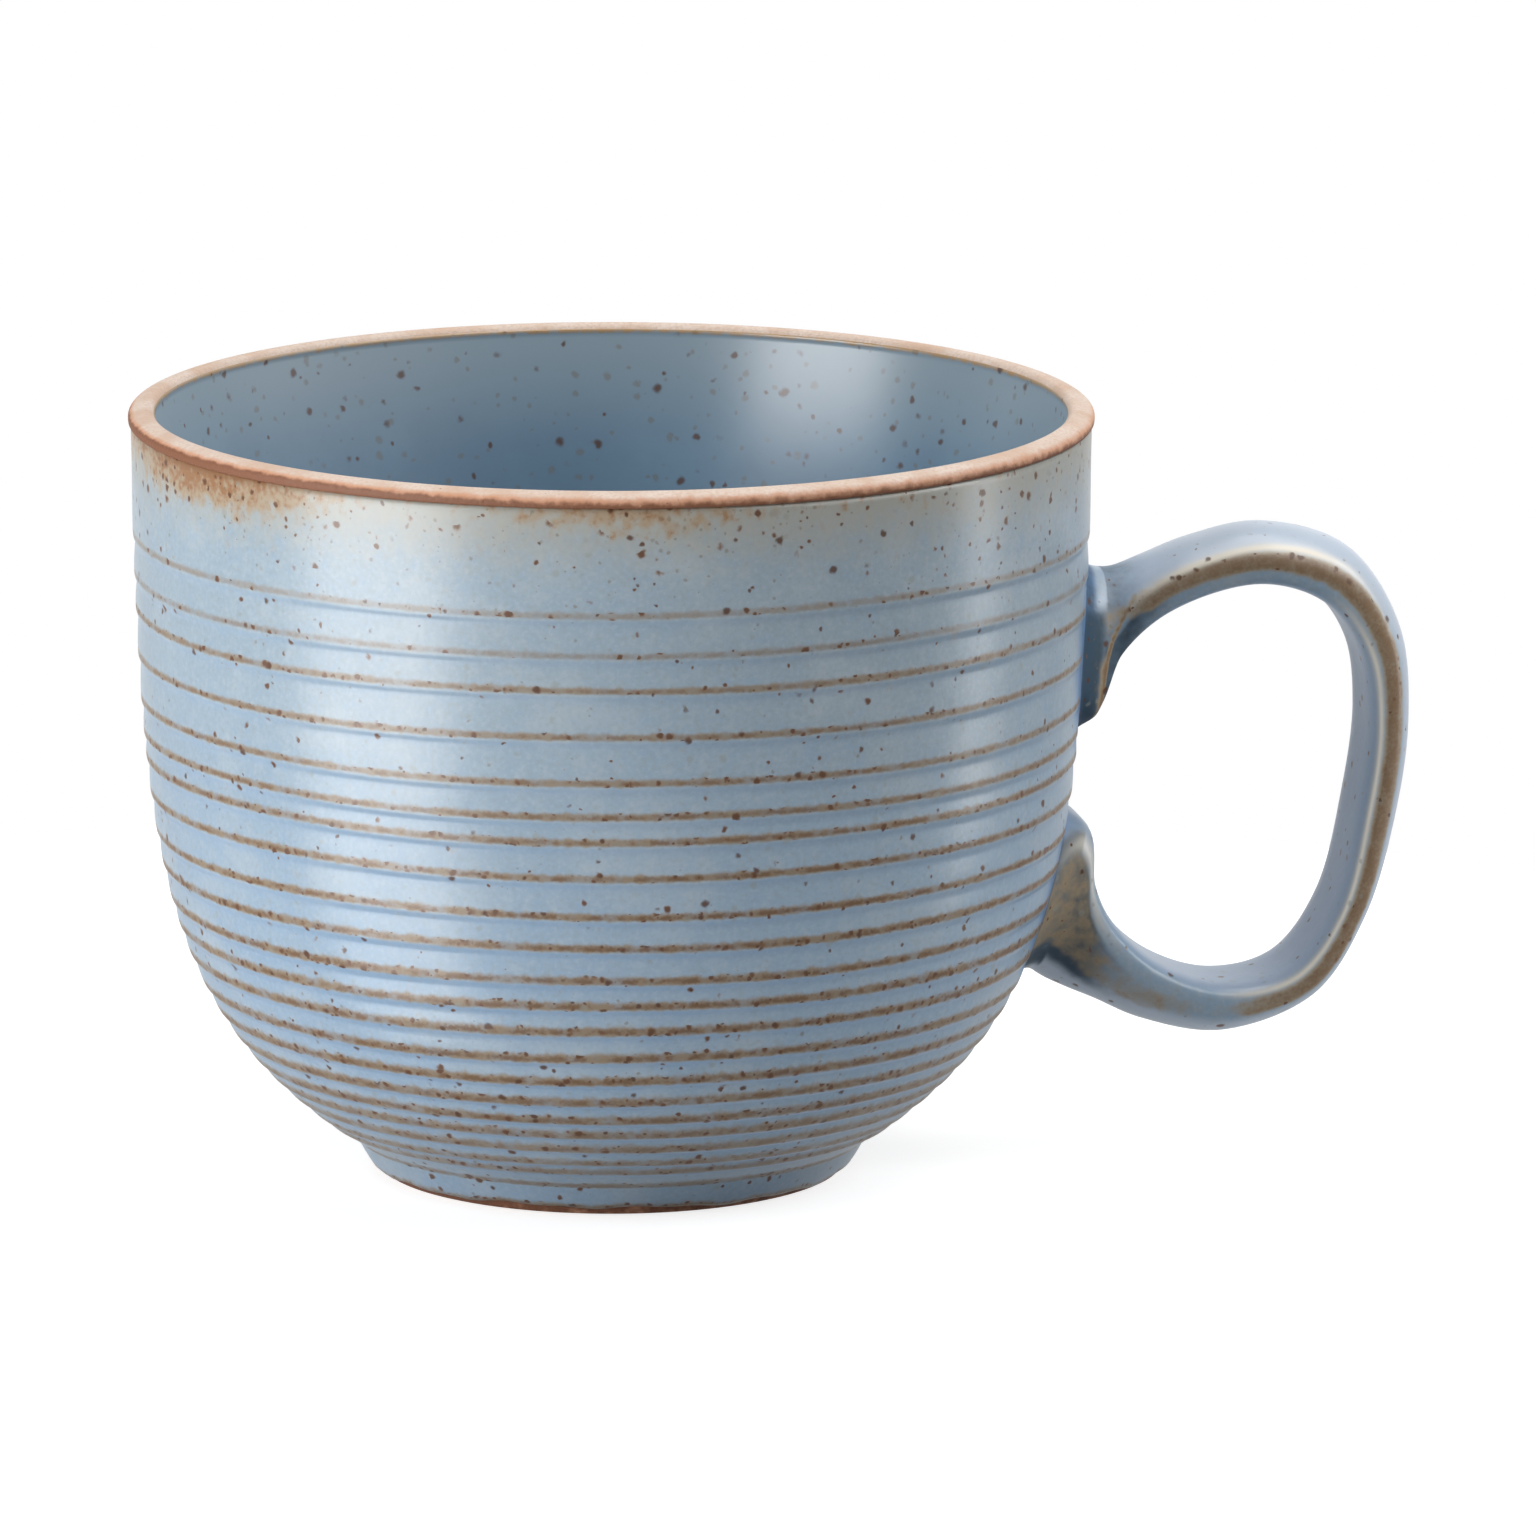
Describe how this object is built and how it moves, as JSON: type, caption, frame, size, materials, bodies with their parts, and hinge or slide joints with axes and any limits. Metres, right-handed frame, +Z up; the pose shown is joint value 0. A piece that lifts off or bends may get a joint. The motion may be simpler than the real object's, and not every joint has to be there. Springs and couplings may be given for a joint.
{
  "type": "cappuccino cup",
  "caption": "Round-bellied stoneware cup with throwing rings, a bare clay lip and foot, and an oval loop handle luted to the wall, glazed inside and out.",
  "frame": {"origin": "Middle of the bounding box on the plane of the foot ring, so z = 0 is the table.", "axes": "+Z up along the bowl's axis, +X towards the handle, +Y across the handle."},
  "size_m": [0.1276, 0.095, 0.0764],
  "materials": {
    "stoneware": "bare fired stoneware, tan to peach, slightly toasted at the edges",
    "blue_glaze": "satin pale steel-blue reactive glaze that breaks brown on edges, with iron specks",
    "liner_glaze": "satin grey-blue glaze with sparse iron specks",
    "slip": "fired luting slip"
  },
  "bodies": {
    "root": {"bowl": "stoneware", "outer_glaze": "blue_glaze", "liner_glaze": "liner_glaze", "base_glaze": "blue_glaze", "handle": "stoneware", "handle_glaze": "blue_glaze", "upper_slip_joint": "slip", "lower_slip_joint": "slip"}
  },
  "joints": []
}
